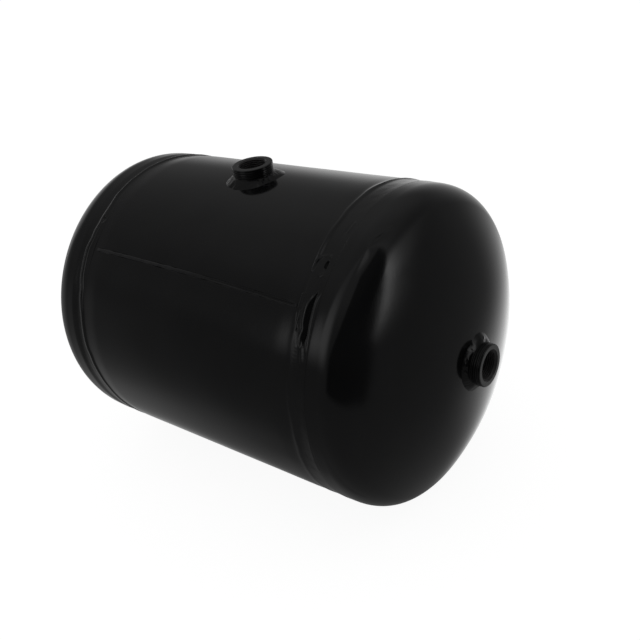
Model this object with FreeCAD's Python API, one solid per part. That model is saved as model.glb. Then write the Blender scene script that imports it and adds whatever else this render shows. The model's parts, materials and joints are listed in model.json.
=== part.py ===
"""Horizontal pressure tank: a small welded steel air reservoir, all sizes in millimetres.

Frame: +X runs along the tank's axis, from the far head to the near head. +Z is up, through the
port on the shell. The origin is on the floor, midway along the tank, under its axis.

The shell is one sheet rolled into a tube, with its two edges joined by a straight seam weld.
Each end is a dished head: a crown, a knuckle, a short flange of the tank's full diameter, and a
skirt that is stepped in by a joggle, so that it slides into the shell. A girth weld fills the
groove that the joggle leaves between the shell's edge and the head's flange.
Three threaded ports are turned bosses, set through holes and welded on from outside: one on top
of the shell and one in the middle of each head.
"""
import FreeCAD
import Part
import math
import os

from FreeCAD import Vector

# Tank body
TANK_OD = 246.0  # outer diameter of the shell and of the heads' flanges
SHELL_LENGTH = 222.0  # rolled sheet, from edge to edge
SHELL_SHEET = 2.5  # thickness of the shell
HEAD_SHEET = 2.5  # thickness of the heads
CROWN_RADIUS = 221.4  # outside of the dished crown, 0.9 of a diameter
KNUCKLE_RADIUS = 24.6  # outside of the knuckle, between the crown and the flange
FLANGE_LENGTH = 8.0  # straight part of the head at the tank's full diameter

# Joggled skirt, which is inside the shell
JOGGLE_LENGTH = 7.0  # length of the step from the flange in to the skirt
SKIRT_REACH = 12.0  # how far the skirt goes into the shell
SKIRT_CLEARANCE = 0.15  # between the skirt and the inside of the shell

# Girth welds
GIRTH_GAP = 13.5  # from the shell's edge to the head's flange
GIRTH_TOE_DROP = 0.6  # how far the bead's edges lie below the tank's outer diameter
GIRTH_CROWN_DROP = 0.25  # how far the bead's middle lies below it

# Seam weld, along the shell
SEAM_ANGLE = 47.0  # degrees from the top of the shell, towards -Y
SEAM_GAP = 1.2  # between the sheet's two edges
SEAM_CAP_WIDTH = 4.0
SEAM_CAP_HEIGHT = 0.5
SEAM_ROOT_WIDTH = 3.0
SEAM_ROOT_HEIGHT = 0.4
SEAM_DRESSED_FAR = 12.0  # length at the far end where the cap is ground flush
SEAM_DRESSED_NEAR = 2.0  # and at the near end
SEAM_ROOT_MARGIN = 1.0  # from the skirt's end to the root of the seam

# Threaded ports
PORT_OD = 32.0
PORT_BORE_RADIUS = 10.2  # minor radius of an M22 x 1.5 thread
PORT_RIM_CHAMFER = 1.0
PORT_MOUTH_CHAMFER = 0.7
PORT_HOLE_CLEARANCE = 0.1  # between a boss and the hole that it is set in
SHELL_PORT_STANDOUT = 10.5  # above the top of the shell
HEAD_PORT_STANDOUT = 9.7  # beyond the middle of the head
PORT_INSIDE_REACH = 3.0  # how far a boss goes past the inside of the sheet

# Fillet welds around the ports
FILLET_FOOT = 5.5  # along the sheet, out from the boss
FILLET_HEIGHT = 3.2  # up the boss

# Derived sizes
TANK_R = TANK_OD / 2
SHELL_INNER_R = TANK_R - SHELL_SHEET
SHELL_HALF = SHELL_LENGTH / 2
SKIRT_R = SHELL_INNER_R - SKIRT_CLEARANCE
JOGGLE_STEP = TANK_R - SKIRT_R
JOGGLE_RADIUS = (JOGGLE_LENGTH**2 + JOGGLE_STEP**2) / (4 * JOGGLE_STEP)
JOGGLE_BEND = math.degrees(math.asin(JOGGLE_LENGTH / 2 / JOGGLE_RADIUS))
FLANGE_START = SHELL_HALF + GIRTH_GAP
FLANGE_END = FLANGE_START + FLANGE_LENGTH
KNUCKLE_CENTRE_R = TANK_R - KNUCKLE_RADIUS
CROWN_HALF_ANGLE = math.asin(KNUCKLE_CENTRE_R / (CROWN_RADIUS - KNUCKLE_RADIUS))
CROWN_CENTRE = FLANGE_END - (CROWN_RADIUS - KNUCKLE_RADIUS) * math.cos(CROWN_HALF_ANGLE)
HEAD_APEX = CROWN_CENTRE + CROWN_RADIUS
PORT_R = PORT_OD / 2
PORT_HOLE_R = PORT_R + PORT_HOLE_CLEARANCE

AXIS = Vector(1, 0, 0)
UP = Vector(0, 0, 1)
CENTRE = Vector(0, 0, 0)
AXIS_HEIGHT = Vector(0, 0, TANK_R)


def profile_point(x, r):
    """A point of a profile that is turned round the tank's axis: x along it, r out from it."""
    return Vector(x, 0, r)


def line(a, b):
    return Part.LineSegment(a, b).toShape()


def arc_round(centre, radius, start_deg, end_deg):
    """Arc in the profile plane. Angles are from +X towards +R, and the arc runs start to end."""
    middle_deg = (start_deg + end_deg) / 2
    points = [
        centre + Vector(math.cos(a), 0, math.sin(a)) * radius
        for a in (math.radians(d) for d in (start_deg, middle_deg, end_deg))
    ]
    return Part.Arc(*points).toShape()


def turned(edges, axis=AXIS):
    """A solid of revolution from the closed profile that these edges make."""
    face = Part.Face(Part.Wire(edges))
    return face.revolve(CENTRE, axis, 360)


def cylinder_along_x(radius, start, end):
    return Part.makeCylinder(radius, end - start, Vector(start, 0, 0), AXIS)


def in_place(shape):
    """Lifts a shape from the tank's axis to its place above the floor."""
    moved = shape.copy()
    moved.translate(AXIS_HEIGHT)
    return moved


def at_far_end(shape):
    """The same piece for the far head: a mirror image about the tank's middle."""
    return shape.mirror(CENTRE, AXIS)


def joggle_edges(offset, shoulder_start=90):
    """The S-shaped step of the head's sheet, from the flange in to the skirt, as two arcs.

    offset is 0 on the outside of the sheet and the sheet's thickness on the inside. The arc at the
    flange starts at shoulder_start degrees.
    """
    shoulder_centre = profile_point(FLANGE_START, TANK_R - JOGGLE_RADIUS)
    heel_centre = profile_point(FLANGE_START - JOGGLE_LENGTH, SKIRT_R + JOGGLE_RADIUS)
    shoulder = arc_round(shoulder_centre, JOGGLE_RADIUS - offset, shoulder_start, 90 + JOGGLE_BEND)
    heel = arc_round(heel_centre, JOGGLE_RADIUS + offset, 270 + JOGGLE_BEND, 270)
    return [shoulder, heel]


def dish_edges(offset):
    """Crown and knuckle of the head, from the axis out to the flange, inside the sheet by offset."""
    crown_deg = math.degrees(CROWN_HALF_ANGLE)
    crown_centre = profile_point(CROWN_CENTRE, 0)
    knuckle_centre = profile_point(FLANGE_END, KNUCKLE_CENTRE_R)
    crown = arc_round(crown_centre, CROWN_RADIUS - offset, 0, crown_deg)
    knuckle = arc_round(knuckle_centre, KNUCKLE_RADIUS - offset, crown_deg, 90)
    return [crown, knuckle]


def head():
    """The near head, a single pressing, with a hole for its port."""
    inner_r = TANK_R - HEAD_SHEET
    skirt_end = SHELL_HALF - SKIRT_REACH
    skirt_start = FLANGE_START - JOGGLE_LENGTH
    skirt_inner_r = SKIRT_R - HEAD_SHEET
    edges = dish_edges(0)
    edges.append(line(profile_point(FLANGE_END, TANK_R), profile_point(FLANGE_START, TANK_R)))
    edges += joggle_edges(0)
    edges.append(line(profile_point(skirt_start, SKIRT_R), profile_point(skirt_end, SKIRT_R)))
    edges.append(line(profile_point(skirt_end, SKIRT_R), profile_point(skirt_end, skirt_inner_r)))
    edges.append(
        line(profile_point(skirt_end, skirt_inner_r), profile_point(skirt_start, skirt_inner_r))
    )
    edges += joggle_edges(HEAD_SHEET)
    edges.append(line(profile_point(FLANGE_START, inner_r), profile_point(FLANGE_END, inner_r)))
    edges += dish_edges(HEAD_SHEET)
    edges.append(line(profile_point(HEAD_APEX - HEAD_SHEET, 0), profile_point(HEAD_APEX, 0)))
    pressing = turned(Part.__sortEdges__(edges))
    port_hole = cylinder_along_x(PORT_HOLE_R, FLANGE_END, HEAD_APEX + HEAD_SHEET)
    return pressing.cut(port_hole)


def tube():
    """The rolled sheet before its hole and its seam are cut."""
    return cylinder_along_x(TANK_R, -SHELL_HALF, SHELL_HALF).cut(
        cylinder_along_x(SHELL_INNER_R, -SHELL_HALF, SHELL_HALF)
    )


def slit():
    """A slab from the axis out through the top of the tube, as wide as the gap at the seam."""
    return Part.makeBox(SHELL_LENGTH, SEAM_GAP, TANK_OD, Vector(-SHELL_HALF, -SEAM_GAP / 2, 0))


def to_seam(shape):
    turned_round = shape.copy()
    turned_round.rotate(CENTRE, AXIS, SEAM_ANGLE)
    return turned_round


def shell():
    """The rolled sheet, open along the seam, with a hole for the top port."""
    port_hole = Part.makeCylinder(PORT_HOLE_R, TANK_OD, CENTRE, UP)
    return tube().cut(to_seam(slit())).cut(port_hole)


def bead_cylinder(width, height, surface_r, outward, start, end):
    """A cylinder along X whose side stands height proud of surface_r over this width of it."""
    sagitta_r = (width**2 / 4 + height**2) / (2 * height)
    centre_r = surface_r + outward * (height - sagitta_r)
    return Part.makeCylinder(sagitta_r, end - start, Vector(start, 0, centre_r), AXIS)


def seam_weld():
    """The bead that joins the sheet's edges: it fills the slit, with a cap outside and a root inside."""
    fill = tube().common(slit())
    cap_start = -SHELL_HALF + SEAM_DRESSED_FAR
    cap_end = SHELL_HALF - SEAM_DRESSED_NEAR
    cap = bead_cylinder(SEAM_CAP_WIDTH, SEAM_CAP_HEIGHT, TANK_R, 1, cap_start, cap_end)
    cap = cap.cut(cylinder_along_x(TANK_R, -SHELL_LENGTH, SHELL_LENGTH))
    root_half = SHELL_HALF - SKIRT_REACH - SEAM_ROOT_MARGIN
    root = bead_cylinder(
        SEAM_ROOT_WIDTH, SEAM_ROOT_HEIGHT, SHELL_INNER_R, -1, -root_half, root_half
    )
    root = root.common(cylinder_along_x(SHELL_INNER_R, -SHELL_LENGTH, SHELL_LENGTH))
    return to_seam(fill.fuse([cap, root]).removeSplitter())


def girth_weld():
    """The bead at the near head: it fills the groove over the joggle."""
    toe_angle = math.acos(1 - GIRTH_TOE_DROP / JOGGLE_RADIUS)
    shell_toe = profile_point(SHELL_HALF, TANK_R - GIRTH_TOE_DROP)
    head_toe = profile_point(
        FLANGE_START - JOGGLE_RADIUS * math.sin(toe_angle), TANK_R - GIRTH_TOE_DROP
    )
    crown = profile_point((shell_toe.x + head_toe.x) / 2, TANK_R - GIRTH_CROWN_DROP)
    skirt_start = profile_point(FLANGE_START - JOGGLE_LENGTH, SKIRT_R)
    shell_foot = profile_point(SHELL_HALF, SKIRT_R)
    surface = Part.Arc(shell_toe, crown, head_toe).toShape()
    groove = joggle_edges(0, 90 + math.degrees(toe_angle))
    groove.append(line(skirt_start, shell_foot))
    groove.append(line(shell_foot, shell_toe))
    return turned([surface] + groove)


def boss(inner_end, face):
    """A threaded boss along Z, bored right through, from its end inside the tank to its face."""
    rim_r = PORT_R - PORT_RIM_CHAMFER
    mouth_r = PORT_BORE_RADIUS + PORT_MOUTH_CHAMFER
    outline = [
        (PORT_BORE_RADIUS, inner_end + PORT_MOUTH_CHAMFER),
        (mouth_r, inner_end),
        (PORT_R, inner_end),
        (PORT_R, face - PORT_RIM_CHAMFER),
        (rim_r, face),
        (mouth_r, face),
        (PORT_BORE_RADIUS, face - PORT_MOUTH_CHAMFER),
    ]
    corners = [Vector(r, 0, z) for r, z in outline]
    return turned([line(a, b) for a, b in zip(corners, corners[1:] + corners[:1])], UP)


def along_x(shape):
    """Turns a piece that was made along Z so that it lies along X."""
    laid = shape.copy()
    laid.rotate(CENTRE, Vector(0, 1, 0), 90)
    return laid


def shell_port_weld():
    """Fillet round the top port: its foot follows the shell's round surface."""
    slope = FILLET_HEIGHT / FILLET_FOOT
    top = TANK_R + FILLET_HEIGHT
    base = SHELL_INNER_R - PORT_R
    corners = [
        Vector(PORT_R, 0, top),
        Vector(PORT_R + (top - base) / slope, 0, base),
        Vector(PORT_R, 0, base),
    ]
    cone = turned([line(a, b) for a, b in zip(corners, corners[1:] + corners[:1])], UP)
    return cone.cut(cylinder_along_x(TANK_R, -SHELL_LENGTH, SHELL_LENGTH))


def head_port_weld():
    """Fillet round the near head's port: its foot lies on the crown."""
    def on_crown(r):
        return profile_point(CROWN_CENTRE + math.sqrt(CROWN_RADIUS**2 - r**2), r)

    inner = on_crown(PORT_R)
    middle = on_crown(PORT_R + FILLET_FOOT / 2)
    toe = on_crown(PORT_R + FILLET_FOOT)
    top = inner + Vector(FILLET_HEIGHT, 0, 0)
    return turned([line(inner, top), line(top, toe), Part.Arc(toe, middle, inner).toShape()])


def tank():
    """Every piece of the tank, by node name, on the tank's axis."""
    near_head = head()
    near_girth_weld = girth_weld()
    near_port = along_x(
        boss(HEAD_APEX - HEAD_SHEET - PORT_INSIDE_REACH, HEAD_APEX + HEAD_PORT_STANDOUT)
    )
    near_port_weld = head_port_weld()
    top_port = boss(SHELL_INNER_R - PORT_INSIDE_REACH, TANK_R + SHELL_PORT_STANDOUT)
    return {
        "shell": shell(),
        "seam_weld": seam_weld(),
        "near_head": near_head,
        "far_head": at_far_end(near_head),
        "near_girth_weld": near_girth_weld,
        "far_girth_weld": at_far_end(near_girth_weld),
        "top_port": top_port,
        "top_port_weld": shell_port_weld(),
        "near_port": near_port,
        "near_port_weld": near_port_weld,
        "far_port": at_far_end(near_port),
        "far_port_weld": at_far_end(near_port_weld),
    }


def main():
    os.makedirs("parts", exist_ok=True)
    for node, shape in tank().items():
        placed = in_place(shape)
        placed.exportStep(f"parts/{node}.step")
        box = placed.BoundBox
        print(
            f"{node}: {len(placed.Solids)} solid, valid {placed.isValid()}, {placed.Volume:.0f} mm3, "
            f"x {box.XMin:.1f}..{box.XMax:.1f} y {box.YMin:.1f}..{box.YMax:.1f} "
            f"z {box.ZMin:.1f}..{box.ZMax:.1f}"
        )


main()
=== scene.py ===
"""Looks of the horizontal pressure tank: a small welded steel air reservoir in glossy black enamel.

Frame, in metres: +X runs along the tank's axis to the near head, +Z is up through the top port, and
the origin is on the floor midway along the tank. Angles round the tank are in degrees from its top,
towards -Y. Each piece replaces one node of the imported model, at the same place and size.
"""

import json
import math

import bmesh
import bpy
import numpy as np
from mathutils import Matrix, Vector


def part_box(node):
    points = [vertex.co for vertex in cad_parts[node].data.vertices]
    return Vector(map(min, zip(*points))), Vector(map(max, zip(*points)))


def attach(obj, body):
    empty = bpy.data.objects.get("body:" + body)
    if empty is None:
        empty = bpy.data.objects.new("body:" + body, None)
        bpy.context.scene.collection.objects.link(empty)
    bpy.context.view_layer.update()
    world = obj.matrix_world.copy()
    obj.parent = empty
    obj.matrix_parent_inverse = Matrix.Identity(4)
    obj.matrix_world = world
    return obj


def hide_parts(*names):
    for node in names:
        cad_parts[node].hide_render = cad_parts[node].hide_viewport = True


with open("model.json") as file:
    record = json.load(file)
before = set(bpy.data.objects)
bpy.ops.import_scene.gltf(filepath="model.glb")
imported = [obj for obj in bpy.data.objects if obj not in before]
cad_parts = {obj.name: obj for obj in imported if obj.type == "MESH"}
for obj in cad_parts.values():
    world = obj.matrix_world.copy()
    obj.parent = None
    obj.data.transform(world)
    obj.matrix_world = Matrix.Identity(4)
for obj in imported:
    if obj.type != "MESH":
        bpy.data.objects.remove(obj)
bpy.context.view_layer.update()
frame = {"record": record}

MM = 0.001
SHARP_DEG = 32  # edges that turn by more than this look sharp

# Tank body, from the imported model
SHELL_LOW, SHELL_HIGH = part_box("shell")
HEAD_LOW, HEAD_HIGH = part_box("near_head")
TANK_R = (SHELL_HIGH.y - SHELL_LOW.y) / 2
AXIS_Z = (SHELL_HIGH.z + SHELL_LOW.z) / 2
SHELL_HALF = SHELL_HIGH.x
SKIRT_END = HEAD_LOW.x

# The sheets and the standard dish of the heads
SHEET = 2.5 * MM
SKIRT_CLEARANCE = 0.15 * MM
CROWN_R = 1.8 * TANK_R
KNUCKLE_R = 0.2 * TANK_R
FLANGE_LENGTH = 8 * MM
JOGGLE_LENGTH = 7 * MM
SKIRT_R = TANK_R - SHEET - SKIRT_CLEARANCE

# Ports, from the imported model
TOP_LOW, TOP_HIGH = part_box("top_port")
NEAR_LOW, NEAR_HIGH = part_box("near_port")
PORT_R = (TOP_HIGH.x - TOP_LOW.x) / 2
MOUNTS = {mount["name"]: mount for mount in frame["record"]["mounts"]}
BORE_R = MOUNTS["near_port"]["dims"]["r_mm"] * MM
PORT_HOLE_R = PORT_R + 0.1 * MM
THREAD_PITCH = 1.5 * MM
THREAD_DEPTH = 0.8 * MM

# Derived places along the axis
CROWN_HALF_ANGLE = math.asin((TANK_R - KNUCKLE_R) / (CROWN_R - KNUCKLE_R))
CROWN_CENTRE = HEAD_HIGH.x - math.sqrt(CROWN_R**2 - PORT_HOLE_R**2)
FLANGE_END = CROWN_CENTRE + (CROWN_R - KNUCKLE_R) * math.cos(CROWN_HALF_ANGLE)
FLANGE_START = FLANGE_END - FLANGE_LENGTH
JOGGLE_STEP = TANK_R - SKIRT_R
JOGGLE_R = (JOGGLE_LENGTH**2 + JOGGLE_STEP**2) / (4 * JOGGLE_STEP)
JOGGLE_ANGLE = math.asin(JOGGLE_LENGTH / 2 / JOGGLE_R)

# Axes that pieces are turned round: origin, direction along, direction at angle 0, at a quarter turn
BODY = ((0, 0, AXIS_Z), (1, 0, 0), (0, 0, 1), (0, -1, 0))
FAR_BODY = ((0, 0, AXIS_Z), (-1, 0, 0), (0, 0, 1), (0, 1, 0))
TOP = ((0, 0, 0), (0, 0, 1), (1, 0, 0), (0, 1, 0))


# Points and meshes

def line(start, end, steps):
    """Evenly spaced (along, out) points from start up to, but not at, end."""
    share = np.arange(steps)[:, None] / steps
    return np.array(start) + share * (np.array(end) - np.array(start))


def arc(centre, radius, start, end, steps):
    """Points on an arc, without its last one. Angles, in radians, are from along towards out."""
    turn = start + (end - start) * np.arange(steps) / steps
    return np.stack([centre[0] + radius * np.cos(turn), centre[1] + radius * np.sin(turn)], axis=1)


def turned(axis, along, out, angles):
    """Lattice of points round an axis: rows follow the section, and columns the angles in radians."""
    origin, ahead, zero, quarter = (np.array(v, dtype=float) for v in axis)
    along = np.asarray(along)[..., None]
    out = np.asarray(out)[..., None]
    round_axis = np.cos(angles)[None, :, None] * zero + np.sin(angles)[None, :, None] * quarter
    return origin + along * ahead + out * round_axis


def columns_of(section, columns):
    """A section's (along, out) points repeated for each column, as one array of along and one of out."""
    return np.repeat(section[:, :1], columns, axis=1), np.repeat(section[:, 1:], columns, axis=1)


SHORTEST_WAVE, LONGEST_WAVE = 0.7, 1.6  # times the size asked for


def unevenness(points, size, seed, waves=28):
    """Smooth random waves of about this size at each point, with a spread of about 1."""
    random = np.random.default_rng(seed)
    directions = random.normal(size=(waves, 3))
    directions /= np.linalg.norm(directions, axis=1)[:, None]
    lengths = size * random.uniform(SHORTEST_WAVE, LONGEST_WAVE, waves)
    phases = random.uniform(0, 2 * math.pi, waves)
    total = np.zeros(points.shape[:-1])
    for direction, length, phase in zip(directions, lengths, phases):
        total += np.cos(points @ direction * (2 * math.pi / length) + phase)
    return total * math.sqrt(2 / waves)


def hump(distance, width):
    """A rounded hill that is 1 at distance 0 and near 0 past twice the width."""
    return np.exp(-((distance / width) ** 2))


def ease(value, low, high):
    """0 below low, 1 above high, and smooth between."""
    share = np.clip((value - low) / (high - low), 0, 1)
    return share * share * (3 - 2 * share)


def crowded(columns, centre_deg, crowding):
    """Angles round the tank in radians, closer together near one angle and wider apart opposite."""
    angles = np.linspace(0, 2 * math.pi, columns, endpoint=False)
    return angles - crowding * np.sin(angles - math.radians(centre_deg))


def lattice_faces(rows, columns, closed_rows=True):
    """Quads of a lattice whose columns close on themselves, and whose rows do if asked."""
    index = np.arange(rows * columns).reshape(rows, columns)
    ahead = np.roll(index, -1, axis=1)
    if not closed_rows:
        return np.stack([index[:-1], ahead[:-1], ahead[1:], index[1:]], axis=-1).reshape(-1, 4)
    return np.stack(
        [index, ahead, np.roll(ahead, -1, axis=0), np.roll(index, -1, axis=0)], axis=-1
    ).reshape(-1, 4)


def faces_of_rows(rows, columns, first, stop):
    """Which faces of a lattice start on a row from first up to, but not at, stop."""
    row = np.repeat(np.arange(rows), columns)
    return (row >= first) & (row < stop)


def make_piece(name, node, points, faces, materials, face_material=None, sharp_deg=SHARP_DEG):
    """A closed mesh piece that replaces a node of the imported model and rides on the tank."""
    mesh = bpy.data.meshes.new(name)
    mesh.from_pydata(points.reshape(-1, 3).tolist(), [], faces)
    edit = bmesh.new()
    edit.from_mesh(mesh)
    bmesh.ops.recalc_face_normals(edit, faces=edit.faces)
    edit.to_mesh(mesh)
    edit.free()
    mesh.shade_smooth()
    mesh.set_sharp_from_angle(angle=math.radians(sharp_deg))
    for material in materials:
        mesh.materials.append(material)
    if face_material is not None:
        mesh.polygons.foreach_set("material_index", np.asarray(face_material, dtype=np.int32))
    piece = bpy.data.objects.new(name, mesh)
    bpy.context.scene.collection.objects.link(piece)
    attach(piece, "root")
    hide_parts(node)
    return piece


# Materials

def new_material(name):
    """A new material, with its nodes and its links."""
    material = bpy.data.materials.new(name)
    material.use_nodes = True
    return material, material.node_tree.nodes, material.node_tree.links


def noise(nodes, links, coordinates, scale, detail=2.0, roughness=0.5):
    """Noise from 0 to 1 with this many features a metre."""
    texture = nodes.new("ShaderNodeTexNoise")
    texture.inputs["Scale"].default_value = scale
    texture.inputs["Detail"].default_value = detail
    texture.inputs["Roughness"].default_value = roughness
    links.new(coordinates, texture.inputs["Vector"])
    return texture.outputs["Fac"]


def ramp(nodes, links, value, stops):
    """A colour ramp from (position, colour) stops."""
    node = nodes.new("ShaderNodeValToRGB")
    elements = node.color_ramp.elements
    while len(elements) < len(stops):
        elements.new(0.5)
    for element, (position, colour) in zip(elements, stops):
        element.position = position
        element.color = (*colour, 1)
    links.new(value, node.inputs["Fac"])
    return node.outputs["Color"]


def mapped(nodes, links, value, low, high, new_low, new_high):
    """A value carried from one range to another, and held inside the new one."""
    node = nodes.new("ShaderNodeMapRange")
    node.inputs["From Min"].default_value = low
    node.inputs["From Max"].default_value = high
    node.inputs["To Min"].default_value = new_low
    node.inputs["To Max"].default_value = new_high
    links.new(value, node.inputs["Value"])
    return node.outputs["Result"]


def bump(nodes, links, height, distance, under=None):
    """A bump of this distance in metres, on top of the normal under it if there is one."""
    node = nodes.new("ShaderNodeBump")
    node.inputs["Distance"].default_value = distance
    links.new(height, node.inputs["Height"])
    if under is not None:
        links.new(under, node.inputs["Normal"])
    return node.outputs["Normal"]


# Noise scales, in features a metre
DEPTH_SCALE = 22
HAZE_SCALE = 60
PEEL_SCALE = 420
GRIT_SCALE = 1900
# Patches of the seam's painted highlight
PAINTED_HIGHLIGHT_SCALE = 160
RUST_SCALE = 45
MILL_SCALE = 700

MIDDLE_NOISE = (0.3, 0.7)  # the range that most of the noise lies in

LACQUER_IOR = 1.5
MILL_SCALE_HEIGHT = 0.08 * MM
STEEL_ROUGHNESS = (0.45, 0.75)
STEEL_METALLIC = 0.7


def enamel(name, dark, light, gloss, peel_height, grit_height, specular=0.5):
    """Black enamel: uneven depth of colour, orange peel, fine grit and a slightly uneven gloss."""
    material, nodes, links = new_material(name)
    shader = nodes["Principled BSDF"]
    place = nodes.new("ShaderNodeTexCoord").outputs["Object"]
    shade = noise(nodes, links, place, DEPTH_SCALE, detail=4)
    links.new(ramp(nodes, links, shade, [(0.35, dark), (0.7, light)]), shader.inputs["Base Color"])
    haze = noise(nodes, links, place, HAZE_SCALE, detail=5, roughness=0.65)
    links.new(mapped(nodes, links, haze, *MIDDLE_NOISE, *gloss), shader.inputs["Roughness"])
    peel = noise(nodes, links, place, PEEL_SCALE, detail=1)
    grit = noise(nodes, links, place, GRIT_SCALE, detail=2, roughness=0.7)
    normal = bump(nodes, links, peel, peel_height)
    normal = bump(nodes, links, grit, grit_height, under=normal)
    links.new(normal, shader.inputs["Normal"])
    shader.inputs["IOR"].default_value = LACQUER_IOR
    shader.inputs["Specular IOR Level"].default_value = specular
    return material


def paint_highlight_along(material, highlight_full_x, highlight_gone_x):
    """Paints a lighter highlight into the enamel's colour as far as the first x along the tank, and less
    and less from there to the second.
    """
    nodes, links = material.node_tree.nodes, material.node_tree.links
    shader = nodes["Principled BSDF"]
    own_colour = shader.inputs["Base Color"].links[0].from_socket
    place = nodes.new("ShaderNodeTexCoord").outputs["Object"]
    split = nodes.new("ShaderNodeSeparateXYZ")
    links.new(place, split.inputs["Vector"])
    share = mapped(nodes, links, split.outputs["X"], highlight_full_x, highlight_gone_x, 1, 0)
    mix = nodes.new("ShaderNodeMix")
    mix.data_type = "RGBA"
    links.new(share, mix.inputs["Factor"])
    links.new(own_colour, mix.inputs["A"])
    # Lighter patches of painted highlight, mixed into the colour along the seam
    patches = noise(nodes, links, place, PAINTED_HIGHLIGHT_SCALE, detail=3)
    highlight_colour = ramp(nodes, links, patches, [(0.35, PAINTED_HIGHLIGHT_DIM), (0.65, PAINTED_HIGHLIGHT_BRIGHT)])
    links.new(highlight_colour, mix.inputs["B"])
    links.new(mix.outputs["Result"], shader.inputs["Base Color"])


def bare_steel(name):
    """The unpainted inside of the tank: dull, mill-scaled steel with rust just starting."""
    material, nodes, links = new_material(name)
    shader = nodes["Principled BSDF"]
    place = nodes.new("ShaderNodeTexCoord").outputs["Object"]
    patches = noise(nodes, links, place, RUST_SCALE, detail=6, roughness=0.6)
    stops = [(0.4, SCALE_COLOUR), (0.58, STEEL_COLOUR), (0.72, RUST_COLOUR)]
    links.new(ramp(nodes, links, patches, stops), shader.inputs["Base Color"])
    roughness = mapped(nodes, links, patches, *MIDDLE_NOISE, *STEEL_ROUGHNESS)
    links.new(roughness, shader.inputs["Roughness"])
    scale = noise(nodes, links, place, MILL_SCALE, detail=3)
    links.new(bump(nodes, links, scale, MILL_SCALE_HEIGHT), shader.inputs["Normal"])
    shader.inputs["Metallic"].default_value = STEEL_METALLIC
    return material


# Colours in linear light: enamel lying thick and thin, overspray on it, a lighter painted highlight on
# the seam's enamel, and the bare inside
DEEPEST = (0.0012, 0.0012, 0.0013)
DEEP = (0.0026, 0.0027, 0.0030)
THIN = (0.0046, 0.0047, 0.0051)
# A lighter painted highlight for the seam's enamel
PAINTED_HIGHLIGHT_DIM = (0.011, 0.011, 0.0115)
PAINTED_HIGHLIGHT_BRIGHT = (0.019, 0.019, 0.020)
OVERSPRAY_DARK = (0.0125, 0.0115, 0.0120)
OVERSPRAY_LIGHT = (0.0290, 0.0262, 0.0275)
SCALE_COLOUR = (0.030, 0.028, 0.027)
STEEL_COLOUR = (0.055, 0.047, 0.041)
RUST_COLOUR = (0.085, 0.045, 0.024)

# Roughness from and to, and heights of the orange peel and the grit
SHEET_GLOSS = (0.10, 0.14)
WELD_GLOSS = (0.14, 0.22)
TURNED_GLOSS = (0.12, 0.17)
THREAD_GLOSS = (0.35, 0.55)
PEEL = 0.010 * MM
WELD_PEEL = 0.020 * MM
SHEET_GRIT = 0.0012 * MM
GRIT = 0.004 * MM
THREAD_GRIT = 0.010 * MM
FILLET_SPECULAR = 0.34
# Where the seam's painted highlight is full, and where it has faded out
HIGHLIGHT_FULL_TO, HIGHLIGHT_GONE_FROM = -30 * MM, 50 * MM  # along the seam

PAINT = enamel("gloss_black_enamel", DEEP, THIN, SHEET_GLOSS, PEEL, SHEET_GRIT)
WELD_PAINT = enamel("enamel_over_weld", DEEP, THIN, WELD_GLOSS, WELD_PEEL, GRIT)
FILLET_PAINT = enamel("enamel_over_fillet", DEEP, THIN, WELD_GLOSS, WELD_PEEL, GRIT, FILLET_SPECULAR)
PORT_PAINT = enamel("enamel_over_turning", DEEPEST, DEEP, TURNED_GLOSS, PEEL, GRIT)
THREAD_PAINT = enamel(
    "overspray_on_thread", OVERSPRAY_DARK, OVERSPRAY_LIGHT, THREAD_GLOSS, PEEL, THREAD_GRIT
)
SEAM_PAINT = enamel("enamel_over_seam", DEEP, THIN, WELD_GLOSS, WELD_PEEL, GRIT)
# The seam's enamel is painted lighter on its far part, a painted highlight
paint_highlight_along(SEAM_PAINT, HIGHLIGHT_FULL_TO, HIGHLIGHT_GONE_FROM)
STEEL = bare_steel("bare_steel_inside")


# Girth joints: the surface that the shell's ends and the beads share

SHELL_SAG = 0.10 * MM  # keeps the waves in the sheet inside the tank's diameter
HEAD_TOE_DROP = 0.14 * MM
TOE_SAG = 0.05 * MM  # how far the bead lies inside the tank's radius at the head
HEAD_TOE_X = FLANGE_START - JOGGLE_R * math.sin(math.acos(1 - HEAD_TOE_DROP / JOGGLE_R))
PULL_REACH = 17 * MM  # how far back from its end the shell is drawn in
OUTER_GAP = 0.01 * MM
PROUD_MOST = 0.7 * MM  # how far a bead may stand past the tank's radius near the top
PROUD_FULL_DEG, PROUD_NONE_DEG = 60, 76  # that far from the top it may still do so, or no longer


def tank_degrees(angles):
    """Angles in degrees from the top, from -180 to 180."""
    return np.degrees((np.asarray(angles) + math.pi) % (2 * math.pi) - math.pi)


def outer_limit(degrees):
    """The largest radius allowed: beads stand proud only where the tank's box leaves room for them."""
    proud = PROUD_MOST * (1 - ease(np.abs(degrees), PROUD_FULL_DEG, PROUD_NONE_DEG))
    return TANK_R - OUTER_GAP + proud


def mark(along, degrees, start, end, width, rise):
    """A rounded ridge, or a trough where rise is negative, along a short line on the tank.

    start and end are (millimetres along, degrees round); width and rise are in millimetres.
    """
    x = along / MM
    y = degrees * math.pi / 180 * TANK_R / MM
    from_x, from_y = start[0], math.radians(start[1]) * TANK_R / MM
    run_x, run_y = end[0] - from_x, math.radians(end[1]) * TANK_R / MM - from_y
    share = np.clip(((x - from_x) * run_x + (y - from_y) * run_y) / (run_x**2 + run_y**2), 0, 1)
    away = np.hypot(x - from_x - share * run_x, y - from_y - share * run_y)
    return rise * MM * hump(away, width)


def wandering(degrees, stops):
    """A smooth course through a few (degrees, millimetres) stops, in metres."""
    place = np.full(np.shape(degrees), stops[0][1], dtype=float)
    for (from_deg, from_mm), (to_deg, to_mm) in zip(stops[:-1], stops[1:]):
        place += (to_mm - from_mm) * ease(degrees, from_deg, to_deg)
    return place * MM


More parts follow.
